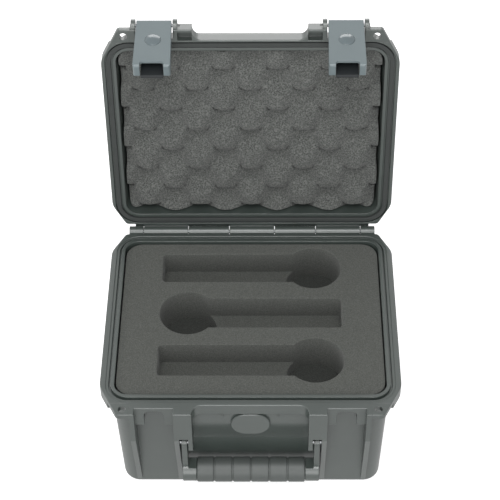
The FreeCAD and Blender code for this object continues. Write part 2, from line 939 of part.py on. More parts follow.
def latch_lever(side, centre):
    """The outer lever of a latch: a broad plate with two cheeks and a finger opening."""
    length = case.lever_length
    face = case.lever_face
    soft = case.lever_round
    profile = [
        lever_point(-case.lever_head, face, soft),
        lever_point(-case.lever_head, -case.neck_depth, soft),
        lever_point(case.neck_end, -case.neck_depth),
        lever_point(case.shoulder_start, -case.shoulder_depth),
        lever_point(rim_to_lip(), -case.shoulder_depth),
        lever_point(case.tail_start, -case.tail_depth),
        lever_point(length - case.chamfer, -case.tail_depth, case.chamfer * 2),
        lever_point(length, face, soft),
    ]
    half_head = case.lever_head_width / 2
    half_tail = case.lever_tail_width / 2
    plan = [
        (centre - half_tail, pivot_z - length, soft),
        (centre + half_tail, pivot_z - length, soft),
        (centre + half_head, pivot_z + case.lever_head, case.chamfer * 2),
        (centre - half_head, pivot_z + case.lever_head, case.chamfer * 2),
    ]
    deep = case.tail_depth + case.overrun
    body = overlap(side + "_lever_body", [
        prism(side + "_lever_profile", "X", profile, centre - half_tail, centre + half_tail),
        prism(side + "_lever_plan", "Y", plan, pivot_y - face - case.overrun, pivot_y + deep),
    ])
    boss = rod(
        side + "_lever_boss", face, "X", centre - half_head, centre + half_head, (pivot_y, pivot_z),
    )
    inside = half_head - case.lever_side
    hollow = block(
        side + "_lever_hollow",
        (centre - inside, centre + inside),
        (pivot_y - face + case.lever_plate, pivot_y + deep),
        (pivot_z - length + case.lever_side, pivot_z - case.lever_hollow),
    )
    finger_corners = [
        (centre - case.finger_width / 2, pivot_z - length - case.overrun),
        (centre + case.finger_width / 2, pivot_z - length - case.overrun),
        (centre + case.finger_width / 2, pivot_z - length + case.finger_depth, case.finger_round),
        (centre - case.finger_width / 2, pivot_z - length + case.finger_depth, case.finger_round),
    ]
    finger = prism(
        side + "_finger_gap", "Y", finger_corners,
        pivot_y - face - case.overrun, pivot_y + deep,
    )
    pin_bore = rod(
        side + "_lever_bore", case.latch_pin_radius + case.bore_play, "X",
        centre - half_tail, centre + half_tail, (pivot_y, pivot_z),
    )
    trigger_bore = rod(
        side + "_trigger_bore", case.trigger_pin_radius + case.bore_play, "X",
        centre - inside - case.lever_side / 2, centre + inside + case.lever_side / 2,
        lever_point(case.trigger_pivot_down, -case.trigger_pivot_in),
    )
    plug_bore = rod(
        side + "_plug_bore", case.plug_shank_radius + case.bore_play, "Y",
        pivot_y - face - case.overrun, pivot_y, (centre, pivot_z - case.plug_down),
    )
    lever = carve(
        side + "_lever",
        join(side + "_lever_solid", [body, boss]),
        [hollow, finger, pin_bore, trigger_bore, plug_bore],
    )
    piece("latch_lever_" + side, lever, open_lid * swing_latch)


def rim_to_lip():
    """How far below the latch pivot the catch's lower edge is."""
    return case.pivot_rise + case.catch_height


def latch_trigger(side, centre):
    """The inner trigger: its hook grips the catch and its lip fills the finger opening."""
    ledge = rim_to_lip() + case.hook_gap
    tip = rim_to_lip() - case.hook_bite
    reach = case.catch_setback + case.catch_lip + case.hook_slack
    skin = case.trigger_skin
    down = case.trigger_pivot_down
    into = case.trigger_pivot_in
    boss = case.trigger_boss_radius
    half = case.trigger_half_width
    wide = case.lever_head_width / 2 - case.lever_side - case.trigger_side_gap
    depth = case.lip_depth
    length = case.lever_length + case.lip_past_lever
    run = length - down
    outer_drop = depth - skin - into
    arm = [
        lever_point(down, boss - into),
        lever_point(down, -boss - into),
        lever_point(ledge, -case.catch_setback + case.hook_gap * 2),
        lever_point(length - skin * 2, -depth + skin / 4),
        lever_point(length, -depth, case.chamfer),
        lever_point(length - skin / 2, -depth + skin),
        lever_point(down + run / 2, -into - outer_drop * 3 / 8),
    ]
    hook = [
        lever_point(ledge, -case.neck_depth),
        lever_point(ledge + case.hook_heel, -case.neck_depth - case.chamfer),
        lever_point(ledge + case.hook_heel, -case.shoulder_depth),
        lever_point(ledge + case.hook_heel / 2, -reach - case.hook_tip_width, case.chamfer * 2),
        lever_point(tip, -reach - case.hook_tip_width),
        lever_point(tip, -reach),
        lever_point(ledge, -reach),
    ]
    pin_place = lever_point(down, -into)
    solid = join(side + "_trigger_solid", [
        prism(side + "_trigger_arm", "X", arm, centre - half, centre + half),
        prism(side + "_trigger_hook", "X", hook, centre - wide, centre + wide),
        rod(side + "_trigger_boss", boss, "X", centre - half, centre + half, pin_place),
    ])
    bore = rod(
        side + "_trigger_pin_bore", case.trigger_pin_radius + case.bore_play, "X",
        centre - half - case.overrun, centre + half + case.overrun, pin_place,
    )
    trigger = carve(side + "_trigger", solid, [bore])
    piece("latch_trigger_" + side, trigger, open_lid * swing_latch)


def latch_small_parts(side, centre, outward):
    """Pins, spring and blanking plug of one latch."""
    moved = open_lid * swing_latch
    reach = case.ear_inside + case.ear_thickness
    pivot_pin = rod(
        side + "_pivot_rod", case.latch_pin_radius, "X",
        centre - reach, centre + reach, (pivot_y, pivot_z),
    )
    bevelled = soften(side + "_pivot_pin", pivot_pin, case.chamfer, round_edges, "Part::Chamfer")
    piece("latch_pin_" + side, bevelled, moved)

    inside = case.lever_head_width / 2 - case.lever_side
    half = inside + case.lever_side / 2
    place = lever_point(case.trigger_pivot_down, -case.trigger_pivot_in)
    small_rod = rod(
        side + "_trigger_rod", case.trigger_pin_radius, "X", centre - half, centre + half, place,
    )
    bevelled = soften(side + "_trigger_pin", small_rod, case.chamfer, round_edges, "Part::Chamfer")
    piece("trigger_pin_" + side, bevelled, moved)

    near = case.trigger_half_width + case.trigger_side_gap
    far = inside - case.trigger_side_gap / 2
    low, high = (near, far) if outward > 0 else (-far, -near)
    coil = rod(side + "_coil", case.spring_radius, "X", centre + low, centre + high, place)
    core = rod(
        side + "_coil_core", case.trigger_pin_radius + case.bore_play, "X",
        centre + low - case.overrun, centre + high + case.overrun, place,
    )
    piece("trigger_spring_" + side, carve(side + "_spring", coil, [core]), moved)

    face = pivot_y - case.lever_face
    height = case.plug_cap_height
    radius = case.plug_cap_radius
    ball_radius = (radius * radius + height * height) / (height * 2)
    middle = (centre, pivot_z - case.plug_down)
    ball = document.addObject("Part::Sphere", side + "_plug_ball")
    bind(ball, Radius=ball_radius)
    stand(ball, x=middle[0], y=face - height + ball_radius, z=middle[1])
    cap = overlap(side + "_plug_cap", [
        ball, rod(side + "_plug_disc", radius, "Y", face - height - case.overrun, face, middle),
    ])
    shank = rod(
        side + "_plug_shank", case.plug_shank_radius, "Y", face, face + case.lever_plate, middle,
    )
    piece("latch_plug_" + side, join(side + "_plug", [cap, shank]), moved)


def handle():
    """The fold-down handle: a frame, a soft grip over its bar, and two pivot pins."""
    grip_y = handle_y - case.grip_forward
    grip_z = handle_z - case.grip_drop
    outside = arm_line
    inside = outside - case.arm_thickness
    half = arm_line - case.grip_inset
    core_end = half + case.chamfer
    top = handle_z + case.arm_half_depth + case.overrun
    bottom = grip_z - case.corner_radius - case.overrun
    front_corners = [
        (core_end, bottom),
        (outside, grip_z - case.corner_top, case.corner_round),
        (outside, top),
        (inside, top),
        (inside, grip_z + case.corner_top, case.chamfer * 2),
        (core_end, grip_z + case.corner_top),
    ]
    front_low = grip_y - case.corner_radius - case.overrun
    front_high = grip_y + case.corner_radius + case.overrun
    side_plate = prism("handle_front", "Y", front_corners, front_low, front_high)
    arm_corners = [
        (handle_y - case.arm_half_depth, grip_z),
        (handle_y + case.arm_half_depth, grip_z),
        (handle_y + case.arm_half_depth, handle_z),
        (handle_y - case.arm_half_depth, handle_z),
    ]
    profile = join("handle_profile", [
        prism("handle_arm", "X", arm_corners, core_end, outside),
        rod("handle_eye", case.arm_half_depth, "X", core_end, outside, (handle_y, handle_z)),
        rod("handle_corner", case.corner_radius, "X", core_end, outside, (grip_y, grip_z)),
    ])
    arm = overlap("handle_side", [side_plate, profile])
    core = rod("handle_core", case.grip_core_radius, "X", -core_end, core_end, (grip_y, grip_z))
    bore = rod(
        "handle_eye_bore", case.handle_pin_radius + case.bore_play, "X",
        inside - case.overrun, outside + case.overrun, (handle_y, handle_z),
    )
    frame = join("handle_solid", both(arm) + [core])
    piece("handle_frame", carve("handle_frame", frame, both(bore)))

    sleeve = rod("grip_sleeve", case.grip_radius, "X", -half, half, (grip_y, grip_z))
    sleeve = soften("grip_soft", sleeve, case.chamfer * 2, round_edges, "Part::Chamfer")
    hole = rod(
        "grip_hole", case.grip_core_radius, "X", -half - case.overrun, half + case.overrun,
        (grip_y, grip_z),
    )
    grooves = []
    for step in (-2, -1, 0, 1, 2):
        middle = case.grip_groove_pitch * step
        low = middle - case.grip_groove_width / 2
        high = middle + case.grip_groove_width / 2
        outer = rod("grip_band", case.grip_radius + case.overrun, "X", low, high, (grip_y, grip_z))
        inner = rod(
            "grip_keep", case.grip_radius - case.grip_groove_depth, "X",
            low - case.overrun, high + case.overrun, (grip_y, grip_z),
        )
        grooves.append(carve("grip_groove", outer, [inner]))
    piece("handle_grip", carve("handle_grip", sleeve, [hole] + grooves))

    for side, sign in (("left", -1), ("right", 1)):
        near = cheek_line + case.chamfer
        far = bracket_outside + case.handle_pin_bite
        low, high = (near, far) if sign > 0 else (-far, -near)
        pin = rod(side + "_handle_rod", case.handle_pin_radius, "X", low, high, (handle_y, handle_z))
        bevelled = soften(side + "_handle_pin", pin, case.chamfer, round_edges, "Part::Chamfer")
        piece("handle_pin_" + side, bevelled)


def pressure_valve():
    """The vent behind the plain oval cover: body, membrane, seal ring and cover."""
    centre = (sized(0), valve_z)
    face = valve_line + case.valve_thickness
    flange_back = face + case.valve_flange_thickness
    inner_wall = -opening_front
    cover = stadium(
        "valve_plate", case.valve_width, case.valve_height, valve_line, face, valve_z,
    )
    bevelled = soften("valve_cover", cover, case.chamfer * 2, front_edges, "Part::Chamfer")
    piece("valve_cover", bevelled)

    flange = rod("valve_flange", case.valve_flange_radius, "Y", face, flange_back, centre)
    stem = rod("valve_stem", case.valve_bore_radius, "Y", face, inner_wall, centre)
    well = rod(
        "valve_well", case.valve_bore_radius - case.wall / 2, "Y",
        face, face + case.membrane_thickness, centre,
    )
    vent = rod(
        "valve_vent", case.valve_vent_radius, "Y", face, inner_wall + case.overrun, centre,
    )
    body = carve("valve_body", join("valve_solid", [flange, stem]), [well, vent])
    piece("valve_body", body)

    membrane = rod(
        "valve_film", case.valve_bore_radius - case.wall / 2, "Y",
        face, face + case.membrane_thickness, centre,
    )
    piece("valve_membrane", membrane)

    seal_back = flange_back + case.valve_seal_thickness
    washer = rod("valve_washer", case.valve_flange_radius, "Y", flange_back, seal_back, centre)
    eye = rod(
        "valve_washer_eye", case.valve_bore_radius + case.bore_play, "Y",
        face, seal_back + case.overrun, centre,
    )
    piece("valve_seal", carve("valve_seal", washer, [eye]))


def front_edges(edge):
    """A test for edges on the valve cover's front face."""
    box = edge.BoundBox
    return abs(box.YMin - valve_line.value) < 1e-4 and abs(box.YMax - valve_line.value) < 1e-4


def foam_rows():
    """Rows of the tray: the row's middle and the side that the microphone's head lies on."""
    middle = case.row_middle
    return [(middle + case.row_pitch, 1), (middle, -1), (middle - case.row_pitch, 1)]


def foam_layer(name, low, high):
    """A plain slab of foam that fills the base between two levels."""
    return drafted(
        name, -case.foam_gap, low, high,
        rim_level, case.base_draft, case.foam_corner_extra,
    )


def base_foam():
    """Four glued layers: slots and wells through the top one, wells through the next, two plain."""
    slot_floor = foam_top - case.slot_depth
    well_floor = foam_top - case.head_depth
    slots = []
    upper_wells = []
    lower_wells = []
    for middle, side in foam_rows():
        tip = -case.slot_end * side
        head = case.head_offset * side
        left, right = (tip, head) if side > 0 else (head, tip)
        half = case.slot_width / 2
        corners = [
            (left, middle - half, case.slot_round),
            (right, middle - half, case.slot_round),
            (right, middle + half, case.slot_round),
            (left, middle + half, case.slot_round),
        ]
        spot = (head, middle)
        slots.append(prism("slot", "Z", corners, slot_floor - case.overrun, foam_top + case.overrun))
        upper_wells.append(rod(
            "upper_well", case.head_radius, "Z", slot_floor - case.overrun, foam_top + case.overrun, spot,
        ))
        lower_wells.append(rod(
            "lower_well", case.head_radius, "Z", well_floor - case.overrun, slot_floor + case.overrun, spot,
        ))
    top_layer = foam_layer("top_layer", slot_floor, foam_top)
    piece("mic_foam", carve("mic_foam", top_layer, slots + upper_wells))
    well_layer = foam_layer("well_layer", well_floor, slot_floor)
    piece("well_foam", carve("well_foam", well_layer, lower_wells))
    plain_split = (well_floor + case.wall) / 2
    piece("middle_foam", foam_layer("middle_layer", plain_split, well_floor))
    bottom = foam_layer("bottom_layer", case.wall, plain_split)
    bevelled = soften(
        "bottom_foam", bottom, case.inside_bevel, at_level(case.wall), "Part::Chamfer",
    )
    piece("bottom_foam", bevelled)


def lid_foam():
    """The egg-crate pad in the lid: bumps in staggered rows on a flat back."""
    face = lid_level + case.lid_foam_below_rim
    rear = lid_level + case.lid_height - case.wall
    pad = drafted(
        "lid_pad", -case.lid_foam_gap, face - case.overrun, rear, lid_level, case.lid_draft,
    )
    pad = soften("lid_pad_soft", pad, case.inside_bevel, at_level(rear), "Part::Chamfer")

    swing = case.crate_swing.value
    steps = 4
    step = case.crate_pitch.value / steps
    start = (opening_back - case.crate_inset).value
    columns = math.ceil(opening_half.value / step)
    first = -math.ceil((opening_front.value + start) / step)
    last = math.ceil(case.crate_inset.value / step)
    net = []
    for column in range(-columns, columns + 1):
        across = math.cos(math.tau * (column / steps - 1 / 2))
        line = []
        for row in range(first, last + 1):
            lift = swing * (1 - across * math.cos(math.tau * row / steps))
            line.append(vector(column * step, start + row * step, face.value + lift))
        net.append(line)
    surface = Part.BSplineSurface()
    surface.interpolate(net)
    crate = document.addObject("Part::Feature", "egg_crate")
    crate.Shape = surface.toShape().extrude(vector(0, 0, case.lid_height.value))
    piece("lid_foam", overlap("lid_foam", [pad, crate]), open_lid)


base_shell()
lid_shell()
seal()
hinge()
for side_name, sign in (("left", -1), ("right", 1)):
    latch_centre = latch_middle * sign
    latch_lever(side_name, latch_centre)
    latch_trigger(side_name, latch_centre)
    latch_small_parts(side_name, latch_centre, sign)
handle()
pressure_valve()
base_foam()
lid_foam()
document.recompute()

for item in document.Objects:
    if "Invalid" in item.State or "Error" in item.State:
        raise RuntimeError(f"{item.Name} failed: {item.State}")

os.makedirs("parts", exist_ok=True)
for label, (item, placement) in pieces.items():
    if placement is not None:
        item.Placement = placement
    if item.Shape.isNull() or not item.Shape.isValid():
        raise RuntimeError(f"{label} has no valid shape")
    item.Shape.exportStep(f"parts/{label}.step")
    box = item.Shape.BoundBox
    print(f"{label}: {len(item.Shape.Solids)} solid, {item.Shape.Volume / 1000:.1f} cm3, "
          f"x {box.XMin:.1f} {box.XMax:.1f}, y {box.YMin:.1f} {box.YMax:.1f}, z {box.ZMin:.1f} {box.ZMax:.1f}")
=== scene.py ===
import json
from math import cos, pi, radians, sin, tan

import bpy
from mathutils import Euler, Matrix, Vector, noise


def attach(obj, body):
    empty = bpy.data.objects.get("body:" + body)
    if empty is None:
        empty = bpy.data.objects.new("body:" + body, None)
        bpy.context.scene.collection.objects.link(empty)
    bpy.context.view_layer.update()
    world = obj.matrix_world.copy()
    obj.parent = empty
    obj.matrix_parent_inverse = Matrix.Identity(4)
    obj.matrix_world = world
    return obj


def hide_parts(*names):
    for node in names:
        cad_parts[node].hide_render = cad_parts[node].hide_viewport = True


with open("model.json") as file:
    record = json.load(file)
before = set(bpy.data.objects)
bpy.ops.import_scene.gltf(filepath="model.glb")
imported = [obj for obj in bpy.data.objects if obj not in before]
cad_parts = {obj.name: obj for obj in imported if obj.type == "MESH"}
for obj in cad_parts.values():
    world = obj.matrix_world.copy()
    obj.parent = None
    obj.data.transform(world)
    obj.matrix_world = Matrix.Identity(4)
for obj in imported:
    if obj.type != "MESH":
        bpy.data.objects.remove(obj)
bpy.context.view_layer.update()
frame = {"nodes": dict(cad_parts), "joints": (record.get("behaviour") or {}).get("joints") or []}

mm = 0.001

# The lid's pieces are shaped as in the shut case and then turned open with it.
lidHinge = next(joint for joint in frame["joints"] if joint["name"] == "lid_hinge")
hingeLine = Vector(lidHinge["pos_m"])
openTurn = Matrix.Rotation(-radians(lidHinge["range_deg"][1]), 4, "X")
openLid = Matrix.Translation(hingeLine) @ openTurn @ Matrix.Translation(-hingeLine)


def srgbHex(code):
    channels = [int(code[i:i + 2], 16) / 255 for i in (0, 2, 4)]
    linear = [c / 12.92 if c <= 0.04045 else ((c + 0.055) / 1.055) ** 2.4 for c in channels]
    return (*linear, 1.0)


def addNode(tree, kind, settings=None, links=None):
    node = tree.nodes.new(kind)
    for key, value in (settings or {}).items():
        if isinstance(key, int) or key in node.inputs:
            node.inputs[key].default_value = value
        else:
            setattr(node, key, value)
    for key, source in (links or {}).items():
        tree.links.new(source, node.inputs[key])
    return node


def freshMaterial(name):
    material = bpy.data.materials.new(name)
    material.use_nodes = True
    tree = material.node_tree
    for node in list(tree.nodes):
        tree.nodes.remove(node)
    return material, tree


def deselect():
    for item in bpy.context.selected_objects:
        item.select_set(False)
    bpy.context.view_layer.objects.active = None


def workOn(piece):
    deselect()
    piece.select_set(True)
    bpy.context.view_layer.objects.active = piece


def editMode(on):
    bpy.ops.object.mode_set(mode="EDIT" if on else "OBJECT")


# How rough the noises are, and how many rays find an edge to round.
surfaceNoise = {
    "mottleDetail": 4.0, "mottleRoughness": 0.6, "grainDetail": 2.0, "edgeSamples": 4,
    "speckDetail": 3.0, "speckRoughness": 0.7,
}


# Two greys mixed by a slow noise, as a moulded part has where the melt cooled unevenly.
def unevenColour(tree, place, look):
    mottle = addNode(tree, "ShaderNodeTexNoise",
                     {"Scale": 1 / (look["mottleMm"] * mm), "Detail": surfaceNoise["mottleDetail"],
                      "Roughness": surfaceNoise["mottleRoughness"]},
                     {"Vector": place})
    tint = addNode(tree, "ShaderNodeMix", {"data_type": "RGBA"}, {0: mottle.outputs["Fac"]})
    tint.inputs[6].default_value = srgbHex(look["colour"])
    tint.inputs[7].default_value = srgbHex(look["colourPale"])
    return tint.outputs[2]


# A fine even grain under edges that catch the light as if they were rounded.
def grainNormal(tree, place, look):
    grain = addNode(tree, "ShaderNodeTexNoise",
                    {"Scale": 1 / (look["grainMm"] * mm), "Detail": surfaceNoise["grainDetail"]},
                    {"Vector": place})
    edge = addNode(tree, "ShaderNodeBevel",
                   {"samples": surfaceNoise["edgeSamples"], "Radius": look["edgeMm"] * mm})
    bump = addNode(tree, "ShaderNodeBump",
                   {"Strength": look["grainStrength"], "Distance": look["grainDepthMm"] * mm},
                   {"Height": grain.outputs["Fac"], "Normal": edge.outputs["Normal"]})
    return bump.outputs["Normal"]


# Polypropylene copolymer, moulded in a spark-eroded tool: dark grey under a strong soft sheen, so
# that upright faces take the pale floor and level ones the dark of the lid.
shellLook = {
    "colour": "3F4744", "colourPale": "49514D", "roughness": 0.32, "ior": 1.52, "specular": 1.0,
    "mottleMm": 38, "grainMm": 0.55, "grainStrength": 0.25, "grainDepthMm": 0.05, "edgeMm": 0.9,
}
# Glass-filled polycarbonate latches: paler, bluer and a little glossier than the case.
latchLook = {
    "colour": "707C7F", "colourPale": "788487", "roughness": 0.36, "ior": 1.58, "specular": 0.5,
    "mottleMm": 25, "grainMm": 0.5, "grainStrength": 0.12, "grainDepthMm": 0.04, "edgeMm": 0.7,
}
# The plugs are polished, where the levers have a spark-eroded grain: one small clear highlight.
plugLook = {
    "colour": "616E72", "colourPale": "69767A", "roughness": 0.16, "ior": 1.58, "specular": 0.6,
    "mottleMm": 25, "grainMm": 0.5, "grainStrength": 0.04, "grainDepthMm": 0.02, "edgeMm": 0.5,
}
# The triggers are the same resin, set deep in the levers; their near-black colour is painted shade
# for that hollow.
triggerShadeLook = {
    "colour": "1A1E20", "colourPale": "202426", "roughness": 0.45, "ior": 1.58, "specular": 0.25,
    "mottleMm": 25, "grainMm": 0.5, "grainStrength": 0.12, "grainDepthMm": 0.04, "edgeMm": 0.7,
}
# Silicone rubber cord: dull grey, so only the gaps beside it read as dark lines.
sealLook = {
    "colour": "3E4140", "colourPale": "464948", "roughness": 0.62, "ior": 1.41, "specular": 0.4,
    "mottleMm": 15, "grainMm": 0.6, "grainStrength": 0.2, "grainDepthMm": 0.04, "edgeMm": 0.4,
}
# Thermoplastic rubber grip, moulded over the handle bar: matter than the case.
gripLook = {
    "colour": "484D4B", "colourPale": "525755", "roughness": 0.5, "ior": 1.5, "specular": 0.7,
    "mottleMm": 20, "grainMm": 0.7, "grainStrength": 0.4, "grainDepthMm": 0.08, "edgeMm": 1.2,
}
# Stainless steel rod, drawn and cut: grey metal with fine lengthwise scratches.
steelLook = {
    "colour": "9A9C9E", "colourPale": "8A8C8E", "roughness": 0.32,
    "mottleMm": 10, "grainMm": 0.3, "grainStrength": 0.1, "grainDepthMm": 0.02, "edgeMm": 0.2,
}


def mouldedPlastic(name, look):
    material, tree = freshMaterial(name)
    place = addNode(tree, "ShaderNodeTexCoord").outputs["Object"]
    shader = addNode(tree, "ShaderNodeBsdfPrincipled",
                     {"Roughness": look["roughness"], "IOR": look["ior"],
                      "Specular IOR Level": look["specular"]},
                     {"Base Color": unevenColour(tree, place, look),
                      "Normal": grainNormal(tree, place, look)})
    addNode(tree, "ShaderNodeOutputMaterial", links={"Surface": shader.outputs[0]})
    return material


def drawnSteel(look):
    material, tree = freshMaterial("stainlessSteelDrawn")
    place = addNode(tree, "ShaderNodeTexCoord").outputs["Object"]
    shader = addNode(tree, "ShaderNodeBsdfPrincipled",
                     {"Roughness": look["roughness"], "Metallic": 1.0},
                     {"Base Color": unevenColour(tree, place, look),
                      "Normal": grainNormal(tree, place, look)})
    addNode(tree, "ShaderNodeOutputMaterial", links={"Surface": shader.outputs[0]})
    return material


# Open-cell polyurethane, charcoal. The convoluted pad shows torn cells as pale and dark flecks.
# Real cells are about 0.5 mm, too fine for the picture, so they are drawn two to three times that.
crateFoamLook = {
    "name": "polyurethaneConvoluted", "colour": "7C7E7B", "colourPore": "383A39",
    "poreMm": 1.5, "speckMm": 0.9, "poreShare": 0.5, "darkAt": 0.45, "paleAt": 1.08, "bump": 0.8,
}
# The same foam skived and die cut: finer and more even.
cutFoamLook = {
    "name": "polyurethaneCut", "colour": "6B6D69", "colourPore": "484A47",
    "poreMm": 1.1, "speckMm": 1.1, "poreShare": 0.4, "darkAt": 0.3, "paleAt": 0.9, "bump": 0.4,
}
# The plain sheets under it, seen only as well floors, are darker as painted shade for the deep wells.
wellShadeFoamLook = {
    "name": "polyurethanePlainShaded", "colour": "4E504D", "colourPore": "343634",
    "poreMm": 1.1, "speckMm": 1.1, "poreShare": 0.4, "darkAt": 0.3, "paleAt": 0.9, "bump": 0.4,
}


foamSurface = {"roughness": 0.95, "specular": 0.15, "sheen": 0.15}


def foamMaterial(look):
    material, tree = freshMaterial(look["name"])
    place = addNode(tree, "ShaderNodeTexCoord").outputs["Object"]
    pores = addNode(tree, "ShaderNodeTexVoronoi",
                    {"Scale": 1 / (look["poreMm"] * mm), "feature": "F1"}, {"Vector": place})
    speck = addNode(tree, "ShaderNodeTexNoise",
                    {"Scale": 1 / (look["speckMm"] * mm), "Detail": surfaceNoise["speckDetail"],
                     "Roughness": surfaceNoise["speckRoughness"]},
                    {"Vector": place})
    cells = addNode(tree, "ShaderNodeMath", {"operation": "MULTIPLY_ADD", 1: look["poreShare"]},
                    {0: pores.outputs["Distance"], 2: speck.outputs["Fac"]})
    ramp = addNode(tree, "ShaderNodeValToRGB", links={"Fac": cells.outputs[0]})
    ramp.color_ramp.elements[0].position = look["darkAt"]
    ramp.color_ramp.elements[0].color = srgbHex(look["colourPore"])
    ramp.color_ramp.elements[1].position = look["paleAt"]
    ramp.color_ramp.elements[1].color = srgbHex(look["colour"])
    bump = addNode(tree, "ShaderNodeBump",
                   {"Strength": look["bump"], "Distance": look["poreMm"] * mm / 2},
                   {"Height": cells.outputs[0]})
    shader = addNode(tree, "ShaderNodeBsdfPrincipled",
                     {"Roughness": foamSurface["roughness"],
                      "Specular IOR Level": foamSurface["specular"],
                      "Sheen Weight": foamSurface["sheen"]},
                     {"Base Color": ramp.outputs["Color"], "Normal": bump.outputs["Normal"]})
    addNode(tree, "ShaderNodeOutputMaterial", links={"Surface": shader.outputs[0]})
    return material


shellPlastic = mouldedPlastic("polypropyleneMoulded", shellLook)
latchPlastic = mouldedPlastic("polycarbonateMoulded", latchLook)
plugPlastic = mouldedPlastic("polycarbonatePolished", plugLook)
# The triggers' near-black colour is painted shade for their hollows in the levers.
triggerShadePlastic = mouldedPlastic("polycarbonatePaintedShade", triggerShadeLook)
sealRubber = mouldedPlastic("siliconeRubberCord", sealLook)
gripRubber = mouldedPlastic("thermoplasticRubberGrip", gripLook)
steelRod = drawnSteel(steelLook)
crateFoam = foamMaterial(crateFoamLook)
cutFoam = foamMaterial(cutFoamLook)
# The plain sheets' darker colour is painted shade on the well floors.
wellShadeFoam = foamMaterial(wellShadeFoamLook)
print("materials made")

finishes = {
    "base_shell": shellPlastic, "base_tab_left": shellPlastic, "base_tab_right": shellPlastic,
    "lid_shell": shellPlastic, "lid_tab_left": shellPlastic, "lid_tab_right": shellPlastic,
    "handle_frame": shellPlastic,
    "valve_cover": shellPlastic, "valve_body": shellPlastic, "valve_membrane": sealRubber,
    "valve_seal": sealRubber, "lid_gasket": sealRubber, "handle_grip": gripRubber,
    "hinge_pin": steelRod, "handle_pin_left": steelRod, "handle_pin_right": steelRod,
}
for side in ("left", "right"):
    finishes["latch_lever_" + side] = latchPlastic
    finishes["latch_plug_" + side] = plugPlastic
    finishes["latch_trigger_" + side] = triggerShadePlastic
    for part in ("latch_pin_", "trigger_pin_", "trigger_spring_"):
        finishes[part + side] = steelRod
for node, material in finishes.items():
    surface = frame["nodes"][node].data
    surface.materials.clear()
    surface.materials.append(material)
print("frame painted")


def dress(piece, body, material):
    piece.data.materials.clear()
    piece.data.materials.append(material)
    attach(piece, body)


def dressFoam(piece, body, node, material):
    dress(piece, body, material)
    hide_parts(node)


# Grows a loop of new points from the loop that is selected, each set where a rule puts it.
def growLoop(piece, rule):
    bpy.ops.mesh.extrude_region_move()
    editMode(False)
    for vertex in piece.data.vertices:
        if vertex.select:
            vertex.co = rule(vertex.co)
    editMode(True)


eggCrate = {
    # outline at the rim plane, and how far back the pad goes into the lid
    "halfWidthMm": 121.4, "frontMm": -88.2, "backMm": 99.7, "cornerMm": 11.2,
    "rimPlaneMm": 134.4, "draftDegrees": 4, "rearMm": 33,
    # the chequer of bumps and hollows
    "acrossPitchMm": 50, "rowPitchMm": 46, "rowMm": 105, "shallowMm": 4, "swingMm": 5.6,
    "lumpMm": 0.7, "lumpPitchMm": 9,
    # the sagging lower edges and the pockets under them
    "sagMm": 4.2, "sagFrom": (-0.16, 0.1), "sagAcross": (0.2, 0.5), "fadeMm": 16,
    "pocketMm": 11, "pocketAt": 0.28, "pocketSteepness": 12,
    # the grid, the broken border edge, and the smoothing
    "cellMm": 1.2, "edgeMm": 1.2, "borderFrom": 0.999, "smoothDegrees": 50,
}


def smoothStep(value, low, high):
    part = min(max((value - low) / (high - low), 0), 1)
    return part * part * (3 - 2 * part)


# Bumps and hollows in a chequer: soft at their sides, steep along the rows. Also how many row
# pitches a point lies past the first row.
def crateWaves(x, y):
    across = -cos(2 * pi * x / eggCrate["acrossPitchMm"])
    steps = (y - eggCrate["rowMm"]) / eggCrate["rowPitchMm"]
    return across, cos(2 * pi * steps), steps


# How strongly a column shows its bumps' lower edges: fully, but for the blend into the next one.
def crateColumn(across):
    return smoothStep(abs(across), *eggCrate["sagAcross"])


# Each bump's lower edge has a pocket under it, where the foam was pulled apart. It lies a share
# of a pitch past the bump's middle, and every other column is half a pitch out.
def crateDepth(x, y):
    look = eggCrate
    across, row, steps = crateWaves(x, y)
    steps += 0 if across > 0 else 0.5
    below = (steps + 0.5) % 1 - 0.5
    lump = noise.noise(Vector((x, y, 0)) / look["lumpPitchMm"]) * look["lumpMm"]
    narrow = max(0, 1 - abs(below - look["pocketAt"]) * look["pocketSteepness"])
    pocket = narrow * crateColumn(across) * look["pocketMm"]
    return look["shallowMm"] + look["swingMm"] * (1 - across * sin(pi / 2 * row)) + lump + pocket


# The bumps sag toward the hinge, so each one's lower edge hangs over its pocket.
def crateSag(x, y):
    across, row = crateWaves(x, y)[:2]
    rise = smoothStep(row if across > 0 else -row, *eggCrate["sagFrom"])
    return eggCrate["sagMm"] * rise * crateColumn(across)


